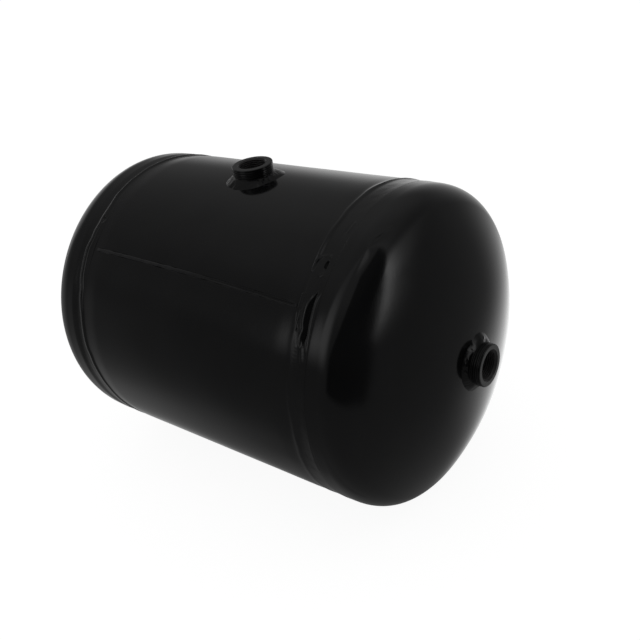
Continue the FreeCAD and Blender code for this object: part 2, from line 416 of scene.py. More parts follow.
# Where the ridge beside each bead wanders to: degrees round, and millimetres past the shell's end
NEAR_COURSE = [
    (-60, -2), (-4, -4.2), (10, -3.3), (22, -2.9), (36, -2),
    (60, -1.2), (78, -0.3), (89, 0.7), (104, -1), (116, -2),
]
FAR_COURSE = [
    (-104, -1.6), (-91, -0.3), (-84, 1.2), (-74, 0.9), (-63, 2.4), (-55, 4.8), (-46, 5.6),
    (-41, 4.2), (-35, 3.1), (-28, 2.7), (-21, 4.5), (-9, 3.7), (20, 2),
]

# Bumps and hollows of the hand-laid beads: start and end (mm along, degrees), width and rise in mm
NEAR_MARKS = [
    ((108.4, 36.4), (109.3, 33.3), 1.0, 0.44),
    ((109.3, 33.3), (111.9, 31.7), 1.0, 0.44),
    ((111.9, 31.7), (116.0, 31.0), 1.1, 0.30),
    ((118.4, 31.0), (118.7, 31.0), 0.9, 0.55),
    ((116.4, 37.8), (118.2, 37.2), 1.2, 0.34),
    ((118.5, 21.6), (118.8, 17.4), 0.9, -0.22),
    ((120.3, 21.2), (120.6, 17.2), 0.9, 0.28),
    ((109.3, 44.7), (109.1, 49.5), 1.0, -0.34),
    ((109.1, 49.5), (112.1, 55.4), 1.0, -0.34),
    ((112.1, 55.4), (114.4, 59.8), 1.0, -0.30),
    ((118.2, 60.9), (119.5, 64.4), 1.7, 0.30),
    ((125.6, 83.0), (124.4, 94.5), 1.6, 0.09),
    ((124.4, 94.5), (122.4, 105.0), 1.6, 0.09),
]
FAR_MARKS = [
    ((111.6, -34.8), (110.2, -33.6), 1.1, 0.60),
    ((112.6, -33.0), (113.4, -34.0), 0.9, -0.50),
    ((115.4, -44.0), (116.2, -47.5), 1.2, 0.12),
]


# A hollow's section, from -1 at its shell side to 1 at its head side, and its tapering ends
FLOOR_RUN = 1.35
WALL_FROM, WALL_TO = 0.84, 1.06
TAPER_SHARE = 0.24
UPPER_TAPER = 1.8  # times as long as the lower taper
END_STEEPNESS = 1.5
TIP_HALF_WIDTH = 0.04  # in millimetres


def hollow_drop(along, degrees, middle, half_width, first, last, depth):
    """A hollow that falls slowly from its shell side and ends in a steep wall at its head side.

    middle, half_width and depth are in millimetres, and first and last in degrees round the tank.
    """
    taper = (last - first) * TAPER_SHARE
    ends = ease(degrees, first, first + UPPER_TAPER * taper) * (1 - ease(degrees, last - taper, last))
    half = (half_width * ends + TIP_HALF_WIDTH) * MM
    across = (along - middle * MM) / half
    floor = np.clip((across + 1) / FLOOR_RUN, 0, 1) * (1 - ease(across, WALL_FROM, WALL_TO))
    return floor * depth * MM * np.minimum(ends * END_STEEPNESS, 1)


# The slot and the pit above it: millimetres along, and degrees round
SLOT_MIDDLE = 118.3
SLOT_HALF_WIDTH = 2.35
SLOT_FIRST, SLOT_LAST, SLOT_DEPTH = 41.2, 60.6, 2.3
PIT_MIDDLE, PIT_HALF_WIDTH = 117.9, 1.7
PIT_FIRST, PIT_LAST, PIT_DEPTH = 32.0, 36.0, 1.5

# The slot's raised lips: how far from its middle in half widths, their width and their height
LEFT_LIP_AT, LEFT_LIP_WIDTH, LEFT_LIP_RISE = 1.22, 0.8 * MM, 0.50 * MM
RIGHT_LIP_AT, RIGHT_LIP_WIDTH, RIGHT_LIP_RISE = 1.14, 0.6 * MM, 0.3 * MM


def slot_drop(along, degrees):
    """The long unfilled slot beside the near bead and a short pit above it, with raised lips."""
    # The middle leans towards the head at the top, then wanders, and the slot has a waist low down
    middle = SLOT_MIDDLE + 2.2 * (1 - ease(degrees, 41.5, 46.5)) - 0.3 * hump(degrees - 48.7, 2.2)
    middle = middle + 0.8 * hump(degrees - 55.2, 1.8) + 0.7 * ease(degrees, 56, 60)
    half_width = SLOT_HALF_WIDTH - 0.5 * hump(degrees - 54.8, 1.3)
    slot = hollow_drop(along, degrees, middle - 0.2, half_width, SLOT_FIRST, SLOT_LAST, SLOT_DEPTH)
    pit = hollow_drop(along, degrees, PIT_MIDDLE, PIT_HALF_WIDTH, PIT_FIRST, PIT_LAST, PIT_DEPTH)
    left = (middle - LEFT_LIP_AT * half_width) * MM
    right = (middle + RIGHT_LIP_AT * half_width) * MM
    left_ends = ease(degrees, 42, 49) * (1 - ease(degrees, 58.5, 61.5))
    right_ends = ease(degrees, 41, 46) * (1 - ease(degrees, 59, 62))
    left_lip = hump(along - left, LEFT_LIP_WIDTH) * left_ends * LEFT_LIP_RISE
    right_lip = hump(along - right, RIGHT_LIP_WIDTH) * right_ends * RIGHT_LIP_RISE
    return slot + pit - left_lip - right_lip


# How far the shell is drawn in beside each joint, and the ridge's height and width in millimetres:
# the near one is lower and wider low down, and the far one higher at the top
NEAR_PULL, FAR_PULL = 0.30 * MM, 0.66 * MM
NEAR_RIDGE, NEAR_RIDGE_LOSS = 0.88, 0.61
FAR_RIDGE, FAR_RIDGE_GAIN = 0.76, 0.28
RIDGE_WIDTH, NEAR_RIDGE_WIDENING = 1.6, 0.7


def near_joint(along, degrees, nominal):
    """How far the surface lies inside the tank's radius across the near girth joint."""
    wobble = unevenness(nominal, 16 * MM, 33) * 0.18 * MM
    ridge_at = SHELL_HALF + wandering(degrees, NEAR_COURSE) + wobble
    ridge = (NEAR_RIDGE - NEAR_RIDGE_LOSS * ease(degrees, 32, 78)) * MM
    ridge_width = (RIDGE_WIDTH + NEAR_RIDGE_WIDENING * ease(degrees, 40, 80)) * MM
    faint = 1 - 0.85 * ease(degrees, 32, 38) * (1 - ease(degrees, 64, 76))
    return joint_drop(along, NEAR_PULL, ridge * faint, ridge_at, ridge_width)


def far_joint(along, degrees, nominal):
    """The same across the far joint, whose ridge is narrower low down and higher all round."""
    wobble = unevenness(nominal, 13 * MM, 43) * 0.16 * MM
    ridge_at = SHELL_HALF + wandering(degrees, FAR_COURSE) + wobble
    upper = 1 - ease(np.abs(degrees), 55, 80)
    ridge = (FAR_RIDGE + FAR_RIDGE_GAIN * upper) * MM
    return joint_drop(along, FAR_PULL, ridge, ridge_at, RIDGE_WIDTH * MM)


def joint_drop(along, pull, ridge, ridge_at, ridge_width):
    """The sheet drawn in beside the joint, a ridge where the bead meets the shell, and the head's toe."""
    drawn_in = SHELL_SAG + pull * (1 - ease(SHELL_HALF - along, 0, PULL_REACH))
    to_head = ease(along, HEAD_TOE_X - 6.5 * MM, HEAD_TOE_X + 1.5 * MM)
    drop = drawn_in * (1 - to_head) + TOE_SAG * to_head
    return drop - ridge * hump(along - ridge_at, ridge_width)


SEAM_DEG = 46.0
SEAM_DRIFT_DEG = 2.4


def seam_degrees(along):
    """Where the lengthwise seam runs: it is not quite straight, and lower at the near end."""
    return SEAM_DEG + SEAM_DRIFT_DEG * ((along + SHELL_HALF) / (2 * SHELL_HALF)) ** 2


# Shell

SHELL_COLUMNS = 640
SHELL_ROWS = 92
SHELL_INNER_ROWS = 10
SHELL_CROWD = (47, 0.6)  # degrees where the columns lie closest, and how much closer
ROW_CROWD = 1.6  # the same for rows, which lie closest at the shell's ends
EDGE_R = 0.5 * MM
SEAM_PULL = 0.16 * MM
SEAM_PULL_WIDTH = 10 * MM
SEAM_TRENCH = 0.9 * MM  # under the seam's cap, where its groove needs room
TRENCH_FLOOR, TRENCH_EDGE = 0.8 * MM, 1.6 * MM
SEAM_START = -SHELL_HALF + 6.5 * MM
SEAM_END = SHELL_HALF - 3.5 * MM
HOLE_SEGMENTS = 96
CUTTER_LENGTH = 30 * MM


def shell_drop(along, angles, nominal):
    """How far the real sheet lies inside its nominal radius."""
    degrees = tank_degrees(angles)
    near = near_joint(along, degrees, nominal)
    far = far_joint(-along, -degrees, nominal)
    ends = np.where(along > 0, near, far)
    from_seam = np.radians(degrees - seam_degrees(along)) * TANK_R
    seam = SEAM_PULL * hump(from_seam, SEAM_PULL_WIDTH)
    under_cap = ease(along, SEAM_START + 2 * MM, SEAM_START + 3 * MM)
    under_cap *= 1 - ease(along, SEAM_END - 3 * MM, SEAM_END - 2 * MM)
    trench = SEAM_TRENCH * (1 - ease(np.abs(from_seam), TRENCH_FLOOR, TRENCH_EDGE)) * under_cap
    waves = unevenness(nominal, 55 * MM, 11) * 0.022 * MM
    return ends + seam + trench + waves


def shell():
    """The rolled sheet, outside, edges and inside, with the top port's hole cut through it."""
    angles = crowded(SHELL_COLUMNS, *SHELL_CROWD)
    share = np.linspace(-1, 1, SHELL_ROWS)
    outer_along = (SHELL_HALF - EDGE_R) * np.sign(share) * (1 - (1 - np.abs(share)) ** ROW_CROWD)
    outer = np.stack([outer_along, np.full(SHELL_ROWS, TANK_R)], axis=1)
    near_edge = arc((SHELL_HALF - EDGE_R, TANK_R - EDGE_R), EDGE_R, math.pi / 2, 0, 4)[1:]
    inner = line((SHELL_HALF, TANK_R - SHEET), (-SHELL_HALF, TANK_R - SHEET), SHELL_INNER_ROWS)
    last = np.array([[-SHELL_HALF, TANK_R - SHEET]])
    far_edge = arc((-SHELL_HALF + EDGE_R, TANK_R - EDGE_R), EDGE_R, math.pi, math.pi / 2, 4)
    section = np.concatenate([outer, near_edge, inner, last, far_edge])
    along, out = columns_of(section, SHELL_COLUMNS)
    nominal = turned(BODY, along, np.full_like(out, TANK_R), angles)
    limit = outer_limit(tank_degrees(angles))[None, :]
    out = np.minimum(out - shell_drop(along, angles[None, :], nominal), limit)
    points = turned(BODY, along, out, angles)
    faces = lattice_faces(len(section), SHELL_COLUMNS)
    first_inner = len(outer) + len(near_edge)
    inside = faces_of_rows(len(section), SHELL_COLUMNS, first_inner, first_inner + len(inner))
    piece = make_piece("shell_sheet", "shell", points, faces.tolist(), [PAINT, STEEL], inside)
    bore_hole(piece)


def bore_hole(piece):
    """Cuts the top port's hole through the shell."""
    mesh = bpy.data.meshes.new("port_hole")
    edit = bmesh.new()
    bmesh.ops.create_cone(
        edit, cap_ends=True, segments=HOLE_SEGMENTS,
        radius1=PORT_HOLE_R, radius2=PORT_HOLE_R, depth=CUTTER_LENGTH,
        matrix=Matrix.Translation((0, 0, AXIS_Z + TANK_R)),
    )
    edit.to_mesh(mesh)
    edit.free()
    cutter = bpy.data.objects.new("port_hole", mesh)
    bpy.context.scene.collection.objects.link(cutter)
    cut = piece.modifiers.new("hole", "BOOLEAN")
    cut.operation = "DIFFERENCE"
    cut.solver = "MANIFOLD"
    cut.object = cutter
    bpy.context.view_layer.update()
    result = piece.evaluated_get(bpy.context.evaluated_depsgraph_get())
    cut_mesh = bpy.data.meshes.new_from_object(result)
    piece.modifiers.clear()
    piece.data = cut_mesh
    piece.data.set_sharp_from_angle(angle=math.radians(SHARP_DEG))
    bpy.data.objects.remove(cutter)


# Heads

HEAD_COLUMNS = 512
HEAD_CROWD = (19, 0.5)  # as for the shell
HEAD_SAG = 0.06 * MM  # keeps the waves in the sheet inside the head's nominal shape
FLANGE_ROLL = 0.45 * MM  # how far the flange turns in before the knuckle starts
FLANGE_ROLL_WIDTH = 8 * MM

# Scuffs on the near head: start and end (millimetres along, degrees), width and rise in millimetres
SCUFFS = [
    ((140.8, 21.5), (146.0, 14.3), 0.50, 0.20),
    ((141.9, 22.1), (147.1, 14.9), 0.55, -0.18),
]


def head_section():
    """The head's section from the edge of its port hole, out and back on the inside.

    The last number of each stretch is how many points it has.
    """
    crown = (CROWN_CENTRE, 0)
    knuckle = (FLANGE_END, TANK_R - KNUCKLE_R)
    shoulder = (FLANGE_START, TANK_R - JOGGLE_R)
    heel = (FLANGE_START - JOGGLE_LENGTH, SKIRT_R + JOGGLE_R)
    inner_r = TANK_R - SHEET
    skirt_inner_r = SKIRT_R - SHEET
    hole_out = math.asin(PORT_HOLE_R / CROWN_R)
    hole_in = math.asin(PORT_HOLE_R / (CROWN_R - SHEET))
    up = math.pi / 2
    outside = np.concatenate([
        arc(crown, CROWN_R, hole_out, CROWN_HALF_ANGLE, 50),
        arc(knuckle, KNUCKLE_R, CROWN_HALF_ANGLE, up, 44),
        line((FLANGE_END, TANK_R), (FLANGE_START, TANK_R), 8),
        arc(shoulder, JOGGLE_R, up, up + JOGGLE_ANGLE, 6),
        arc(heel, JOGGLE_R, 3 * up + JOGGLE_ANGLE, 3 * up, 6),
        line((FLANGE_START - JOGGLE_LENGTH, SKIRT_R), (SKIRT_END, SKIRT_R), 6),
    ])
    inside = np.concatenate([
        line((SKIRT_END, SKIRT_R), (SKIRT_END, skirt_inner_r), 2),
        line((SKIRT_END, skirt_inner_r), (FLANGE_START - JOGGLE_LENGTH, skirt_inner_r), 2),
        arc(heel, JOGGLE_R + SHEET, 3 * up, 3 * up + JOGGLE_ANGLE, 3),
        arc(shoulder, JOGGLE_R - SHEET, up + JOGGLE_ANGLE, up, 3),
        line((FLANGE_START, inner_r), (FLANGE_END, inner_r), 2),
        arc(knuckle, KNUCKLE_R - SHEET, up, CROWN_HALF_ANGLE, 9),
        arc(crown, CROWN_R - SHEET, CROWN_HALF_ANGLE, hole_in, 10),
        arc(crown, CROWN_R - SHEET, hole_in, hole_in, 1),
    ])
    return outside, inside


def head(name, node, axis, seed, scuffs):
    """A dished head, with waves in its sheet, a flange that turns in early, and scuffs."""
    angles = crowded(HEAD_COLUMNS, *HEAD_CROWD)
    outside, inside = head_section()
    section = np.concatenate([outside, inside])
    along, out = columns_of(section, HEAD_COLUMNS)
    nominal = turned(axis, along, out, angles)
    wave = unevenness(nominal, 60 * MM, seed) * 0.02 * MM - HEAD_SAG
    past_hole = ease(out, PORT_R + 4 * MM, PORT_R + 12 * MM)
    wave = wave * past_hole - FLANGE_ROLL * hump(along - FLANGE_END - 2 * MM, FLANGE_ROLL_WIDTH)
    outer_rows = slice(0, len(outside))
    for scuff in scuffs:
        wave[outer_rows] += mark(along[outer_rows], tank_degrees(angles)[None, :], *scuff)
    from_crown = np.arctan2(out, along - CROWN_CENTRE)
    along = along + wave * np.cos(from_crown)
    out = out + wave * np.sin(from_crown)
    points = turned(axis, along, out, angles)
    rows = len(section)
    faces = lattice_faces(rows, HEAD_COLUMNS)
    bare = faces_of_rows(rows, HEAD_COLUMNS, len(outside), rows)
    make_piece(name, node, points, faces.tolist(), [PAINT, STEEL], bare)


# Girth welds

GIRTH_COLUMNS = 860
GIRTH_ROWS = 58
GIRTH_UNDER_ROWS = 6
GIRTH_CROWD_DEG, GIRTH_CROWD = 44, 0.5  # as for the shell
GIRTH_SHARP_DEG = 50
SKIN_REACH = 3.2 * MM  # how far the bead's skin goes back over the shell
TOE_REACH = 0.8 * MM  # how far its toe goes on over the head
BEAD_LIFT = 0.015 * MM  # the bead's skin over the shell's end
SKIN_EDGE_DROP, TOE_EDGE_DROP = 0.6 * MM, 0.5 * MM  # both edges end inside the sheet, out of sight
RIPPLE_PITCH = 2.3 * MM
RIPPLE_HEIGHT = 0.009 * MM
CHEVRON = 12 * MM  # how far the ripples bend back
BEAD_UNDERSIDE = TANK_R - SHEET + 0.1 * MM


def girth_weld(name, node, axis, seed, joint, marks, slot=False):
    """The bead in the groove between shell and head, and its skin over the edge of the shell."""
    # The far bead's angles run the other way round
    crowd_deg = GIRTH_CROWD_DEG if axis is BODY else -GIRTH_CROWD_DEG
    angles = crowded(GIRTH_COLUMNS, crowd_deg, GIRTH_CROWD)
    start, end = SHELL_HALF - SKIN_REACH, HEAD_TOE_X + TOE_REACH
    top_along = np.linspace(start, end, GIRTH_ROWS)
    share = ((top_along - start) / (end - start))[:, None]
    under_along = np.linspace(end - 0.4 * MM, SHELL_HALF + 0.3 * MM, GIRTH_UNDER_ROWS)
    along = np.repeat(np.concatenate([top_along, under_along])[:, None], GIRTH_COLUMNS, axis=1)
    degrees = tank_degrees(angles)[None, :]
    nominal = turned(axis, along, np.full_like(along, TANK_R), angles)
    top = slice(0, GIRTH_ROWS)
    surface = joint(along[top], degrees, nominal[top])
    on_bead = ease(top_along, SHELL_HALF - 0.5 * MM, SHELL_HALF + 2 * MM)[:, None]
    on_bead = on_bead * (1 - ease(top_along, HEAD_TOE_X - 3 * MM, HEAD_TOE_X)[:, None])
    travel = angles[None, :] * TANK_R
    ripples = (travel + (share - 0.5) ** 2 * CHEVRON) / RIPPLE_PITCH
    phase = ripples * 2 * math.pi + 2.2 * unevenness(nominal[top], 18 * MM, seed + 1)
    strength = 0.5 + 0.5 * np.clip(unevenness(nominal[top], 30 * MM, seed + 4), -1, 1)
    rough = unevenness(nominal[top], 9 * MM, seed + 2) * 0.022 * MM
    rough = rough + unevenness(nominal[top], 26 * MM, seed + 3) * 0.03 * MM
    rise = on_bead * (np.sin(phase) * strength * RIPPLE_HEIGHT + rough)
    for one in marks:
        rise = rise + mark(along[top], degrees, *one)
    if slot:
        rise = rise - slot_drop(along[top], degrees)
    out = np.empty_like(along)
    out[top] = np.minimum(TANK_R - surface + rise + BEAD_LIFT, outer_limit(degrees))
    out[0] -= SKIN_EDGE_DROP
    out[GIRTH_ROWS - 1] -= TOE_EDGE_DROP
    out[GIRTH_ROWS:] = BEAD_UNDERSIDE
    points = turned(axis, along, out, angles)
    faces = lattice_faces(len(along), GIRTH_COLUMNS)
    make_piece(name, node, points, faces.tolist(), [WELD_PAINT], sharp_deg=GIRTH_SHARP_DEG)


# Seam weld

SEAM_STEP = 0.55 * MM
SEAM_COLUMNS = 23
SEAM_UNDER_COLUMNS = [18, 11, 4]  # the cap's columns that its buried underside follows, on the way back
SEAM_UNDER = 1.6 * MM  # how far the underside lies below the cap's edges
SEAM_HALF_WIDTH, SEAM_HEIGHT = 1.35, 0.42  # in millimetres
SEAM_FADE = 0.60  # the share of its height that it loses towards the near end
SEAM_SHARP_DEG = 60
SEAM_RIPPLE_PITCH = 1.9 * MM
SEAM_RIPPLE = 0.008 * MM
SEAM_GROOVE = 0.85 * MM


def seam_weld():
    """The cap of the lengthwise seam: a low ridge that turns into an undercut groove at the near end."""
    along = np.arange(SEAM_START, SEAM_END, SEAM_STEP)
    here = np.stack([along, along * 0, along * 0], axis=1)
    across = np.linspace(-1, 1, SEAM_COLUMNS)[None, :]
    half_width = ((SEAM_HALF_WIDTH + 0.10 * unevenness(here, 11 * MM, 5)) * MM)[:, None]
    height = (SEAM_HEIGHT + 0.04 * unevenness(here, 14 * MM, 6)) * MM
    ends = ease(along, along[0], along[0] + 4 * MM) * (1 - ease(along, along[-1] - 3 * MM, along[-1]))
    ridge = (1 - SEAM_FADE * ease(along, -20 * MM, 70 * MM)) * height * ends
    ripples = (along[:, None] + across**2 * 1.5 * MM) / SEAM_RIPPLE_PITCH
    ripple = np.sin(ripples * 2 * math.pi) * SEAM_RIPPLE
    dome = 1 - across**2
    undercut = (SEAM_GROOVE * ease(along, -15 * MM, 70 * MM) * ends)[:, None]
    side = half_width * across
    groove = undercut * hump(side - 0.15 * MM, 0.75 * MM)
    rise = ridge[:, None] * dome + ripple * dome * ends[:, None] - groove
    base = TANK_R - SHELL_SAG - SEAM_PULL - 0.03 * MM
    under = np.full((len(along), len(SEAM_UNDER_COLUMNS)), -SEAM_UNDER)
    out = base + np.concatenate([rise, under], axis=1)
    from_seam = np.concatenate([side, side[:, SEAM_UNDER_COLUMNS]], axis=1) / TANK_R
    turn = np.radians(seam_degrees(along))[:, None] + from_seam
    x = np.repeat(along[:, None], out.shape[1], axis=1)
    points = np.stack([x, -out * np.sin(turn), AXIS_Z + out * np.cos(turn)], axis=-1)
    rows, columns = out.shape
    faces = lattice_faces(rows, columns, closed_rows=False).tolist()
    faces.append(list(range(columns)))
    faces.append([(rows - 1) * columns + i for i in reversed(range(columns))])
    make_piece("seam_bead", "seam_weld", points, faces, [SEAM_PAINT], sharp_deg=SEAM_SHARP_DEG)


# Ports

PORT_COLUMNS = 128
PORT_SHARP_DEG = 38
RIM = 0.7 * MM
BACK_BEVEL = 1.0 * MM
THREAD_ROWS = 9  # to each turn of the thread
TOOTH_SLOPE, TOOTH_FLAT = 2.6, 0.25  # steepness of its flanks, and how much its crest is cut off
TURNED_LENGTH = 12 * MM  # how much of the boss below its face shows its turning
TURNED_ROWS = 72

# Grooves of the turning: the first one's depth below the face, then ranges that they are drawn from
FIRST_GROOVE = 1.3 * MM
GROOVE_SHARES = (0.35, 1.0)
GROOVE_WIDTHS_MM = (0.22, 0.34)
GROOVE_STEPS_MM = (1.0, 1.7)


def port(name, node, axis, inner_end, face, mouth_bevel, groove_depth, seed):
    """A turned boss with a real internal thread, from its end inside the tank to its face."""
    angles = np.linspace(0, 2 * math.pi, PORT_COLUMNS, endpoint=False)
    bevel = arc((face - RIM, PORT_R - RIM), RIM, math.pi / 2, 0, 5)
    flat = line((face, PORT_R - RIM), (face, BORE_R + mouth_bevel), 4)
    mouth = line((face, BORE_R + mouth_bevel), (face - mouth_bevel, BORE_R), 6)
    thread_rows = int((face - mouth_bevel - inner_end - BACK_BEVEL) / THREAD_PITCH * THREAD_ROWS)
    thread = line((face - mouth_bevel, BORE_R), (inner_end + BACK_BEVEL, BORE_R), thread_rows)
    back_bevel = line((inner_end + BACK_BEVEL, BORE_R), (inner_end, BORE_R + BACK_BEVEL), 2)
    back = line((inner_end, BORE_R + BACK_BEVEL), (inner_end, PORT_R), 2)
    hidden = line((inner_end, PORT_R), (face - RIM - TURNED_LENGTH, PORT_R), 3)
    side = line((face - RIM - TURNED_LENGTH, PORT_R), (face - RIM, PORT_R), TURNED_ROWS)
    section = np.concatenate([bevel, flat, mouth, thread, back_bevel, back, hidden, side])
    along, out = columns_of(section, PORT_COLUMNS)
    turn = angles[None, :] / (2 * math.pi)
    phase = (along / THREAD_PITCH - turn) % 1
    tooth = np.clip((0.5 - np.abs(phase - 0.5)) * TOOTH_SLOPE - TOOTH_FLAT, 0, 1)
    cut = BORE_R + THREAD_DEPTH * tooth
    bore = slice(len(bevel) + len(flat) + 1, len(bevel) + len(flat) + len(mouth) + thread_rows + 1)
    out[bore] = np.maximum(out[bore], cut[bore])
    out[-len(side):] -= turning(face - along[-len(side):], groove_depth, seed)
    points = turned(axis, along, out, angles)
    faces = lattice_faces(len(section), PORT_COLUMNS)
    threaded = faces_of_rows(len(section), PORT_COLUMNS, bore.start, bore.stop)
    paints = [PORT_PAINT, THREAD_PAINT]
    make_piece(name, node, points, faces.tolist(), paints, threaded, sharp_deg=PORT_SHARP_DEG)


def turning(depth, groove_depth, seed):
    """Tool marks round a boss: grooves of uneven depth, width and spacing."""
    random = np.random.default_rng(seed)
    total = np.zeros_like(depth)
    at = FIRST_GROOVE
    while at < TURNED_LENGTH:
        size = groove_depth * random.uniform(*GROOVE_SHARES)
        total += size * hump(depth - at, random.uniform(*GROOVE_WIDTHS_MM) * MM)
        at += random.uniform(*GROOVE_STEPS_MM) * MM
    return total


# Fillets round the ports

FILLET_COLUMNS = 360
FILLET_ROWS = 30
FILLET_UNDER_ROWS = 4
FILLET_SHARP_DEG = 60
TOP_REACH, HEAD_REACH = 6.0 * MM, 5.6 * MM  # how far a fillet goes out from its boss
FILLET_HEIGHT = 2.6 * MM
FILLET_TUCK = 0.2 * MM  # how far it goes into the boss
FILLET_DEPTH = 0.8 * MM  # how far its underside lies under the sheet's surface
FILLET_TOE_DROP = 0.15 * MM
FILLET_HOLLOW = 1.35  # how hollow its face is, where 1 is straight
FILLET_SWELL = 0.55 * MM  # how far the middle of its face swells out
FILLET_RIPPLE_PITCH = 2.6 * MM
FILLET_RIPPLE = 0.10 * MM
FILLET_ROUGHNESS = 0.05 * MM

# Where fillets are larger: middle and half width in degrees, more reach and more height in millimetres
TOP_LOBES = [(217, 15, 0.9, 0.7), (37, 20, 1.5, 0.6), (-45, 48, 0.4, 1.3), (-100, 30, 0.4, 0.9)]
NEAR_LOBES = [(-16, 19, 0.7, 1.6), (180, 19, 1.3, 2.6), (140, 20, 0.5, 0.6)]
FAR_LOBES = [(35, 15, 1.2, 0.6), (200, 16, 1.4, 0.7)]

# Lumps on them: degrees, and distance from the boss, width and rise in millimetres
TOP_LUMPS = [
    (-24, 1.4, 0.6, 0.95), (-30, 3.4, 0.65, 0.9), (-26, 2.5, 0.6, -0.8), (-12, 1.8, 0.6, 0.85),
    (-14, 3.8, 0.6, 0.8), (-38, 2.2, 0.6, 0.6), (2, 2.6, 0.6, 0.6),
]
NEAR_LUMPS = [
    (52, 2.2, 0.9, 0.5), (62, 3.8, 0.8, 0.45), (70, 1.6, 0.7, 0.4), (78, 3.4, 0.7, 0.4),
    (-30, 2.6, 1.2, 0.35),
]
FAR_LUMPS = [(90, 2.5, 0.9, 0.35), (-70, 3.0, 0.8, 0.3)]


def degrees_from(angles, middle_deg):
    """How far angles in radians lie from one in degrees: in degrees, from -180 to 180."""
    return (np.degrees(angles) - middle_deg + 180) % 360 - 180


def lobes_at(angles, lobes):
    """A fillet's extra reach and height in metres at each angle."""
    reach, height = np.zeros_like(angles), np.zeros_like(angles)
    for degrees, half_width, more_reach, more_height in lobes:
        away = degrees_from(angles, degrees)
        reach += more_reach * MM * hump(away, half_width)
        height += more_height * MM * hump(away, half_width)
    return reach, height


def port_weld(name, node, axis, seed, surface, foot, lobes, lumps):
    """Fillet round a port, lumpy as a hand weld is. surface(out, angles) is the sheet's height."""
    angles = np.linspace(0, 2 * math.pi, FILLET_COLUMNS, endpoint=False)
    circle = np.stack([np.cos(angles), np.sin(angles), np.zeros(FILLET_COLUMNS)], axis=1) * PORT_R
    more_reach, more_height = lobes_at(angles, lobes)
    broad = 0.06 * unevenness(circle, 17 * MM, seed)
    reach = foot * (1 + broad + 0.03 * unevenness(circle, 6 * MM, seed + 1))
    reach = reach + more_reach
    climb = FILLET_HEIGHT * (1 + 0.09 * unevenness(circle, 15 * MM, seed + 2)) + more_height
    share = np.linspace(0, 1, FILLET_ROWS)[:, None]
    inner = PORT_R - FILLET_TUCK
    out = inner + (reach[None, :] + PORT_R - inner) * share
    sheet = surface(out, angles[None, :])
    top = climb[None, :] * (1 - share) ** FILLET_HOLLOW
    top = top + FILLET_SWELL * np.sin(math.pi * share) ** 0.9
    places = turned(axis, sheet, out, angles)
    travel = angles[None, :] * (PORT_R + foot / 2)
    ripples = (travel + 3.0 * MM * share) / FILLET_RIPPLE_PITCH
    phase = ripples * 2 * math.pi + 2.5 * unevenness(places, 12 * MM, seed + 5)
    patchy = np.clip(0.35 + 0.65 * unevenness(places, 11 * MM, seed + 6), 0, 1.3)
    middle = np.sin(math.pi * share) ** 0.7
    top = top + middle * patchy * np.sin(phase) * FILLET_RIPPLE
    top = top + middle * unevenness(places, 5 * MM, seed + 7) * FILLET_ROUGHNESS
    for degrees, from_boss, width, rise in lumps:
        across = np.radians(degrees_from(angles[None, :], degrees)) * out
        top = top + rise * MM * hump(np.hypot(across, out - PORT_R - from_boss * MM), width * MM)
    along = sheet + top - FILLET_TOE_DROP * share**8
    back = np.linspace(1, 0, FILLET_UNDER_ROWS)[:, None]
    under_out = back * (reach[None, :] - 0.3 * MM) + inner
    under = surface(under_out, angles[None, :]) - FILLET_DEPTH
    out = np.concatenate([out, under_out])
    along = np.concatenate([along, under])
    points = turned(axis, along, out, angles)
    faces = lattice_faces(len(out), FILLET_COLUMNS)
    make_piece(name, node, points, faces.tolist(), [FILLET_PAINT], sharp_deg=FILLET_SHARP_DEG)


def shell_surface(out, angles):
    """Height of the shell's surface round the top port, above the floor."""
    across = out * np.sin(angles)
    return AXIS_Z + np.sqrt((TANK_R - SHELL_SAG) ** 2 - across**2)


def crown_surface(out, angles):
    """Place along the axis of a head's crown, which is the same at every angle."""
    return CROWN_CENTRE + np.sqrt(CROWN_R**2 - out**2)


# Stage: floor, lights and camera

# The photograph's view: place in metres, and directions
VIEW_POINT = Vector((0.4211, -0.4112, 0.4531))
VIEW_RIGHT = Vector((0.78497, 0.59902, -0.15814))
VIEW_AHEAD = Vector((-0.58666, 0.63263, -0.50559))
LENS_MM = 44.5
SENSOR_MM = 36.0
CLIP_NEAR, CLIP_FAR = 0.05, 50.0

# Cove, in metres, and its white
COVE_COLUMNS, COVE_BEND_ROWS = 96, 13
COVE_RINGS = [0.001, 1.5]  # radii inside the flat part
COVE_FLAT = 3.5
COVE_BEND = 1.5
COVE_TOP = 5.0
COVE_COLOUR = (0.22, 0.22, 0.22, 1)
COVE_ROUGHNESS = 0.9
COVE_GLOW = 0.93

DOME_R = 3.0
WORLD_COLOUR = (0.3, 0.3, 0.3, 1)
LAMP_STRENGTH = 0.5
LAMP_SPREAD_DEG = 110
LAMP_TILT_DEG = (8, -6, 0)


def camera():
    """The camera, where the photograph was taken from."""
    data = bpy.data.cameras.new("camera")
    data.lens = LENS_MM
    data.sensor_width = SENSOR_MM
    data.clip_start = CLIP_NEAR
    data.clip_end = CLIP_FAR
    ahead = VIEW_AHEAD.normalized()
    right = (VIEW_RIGHT - ahead * VIEW_RIGHT.dot(ahead)).normalized()
    up = right.cross(ahead)
    pose = Matrix((right, up, -ahead)).transposed().to_4x4()
    pose.translation = VIEW_POINT
    viewer = bpy.data.objects.new("camera", data)
    viewer.matrix_world = pose
    bpy.context.scene.collection.objects.link(viewer)
    bpy.context.scene.camera = viewer


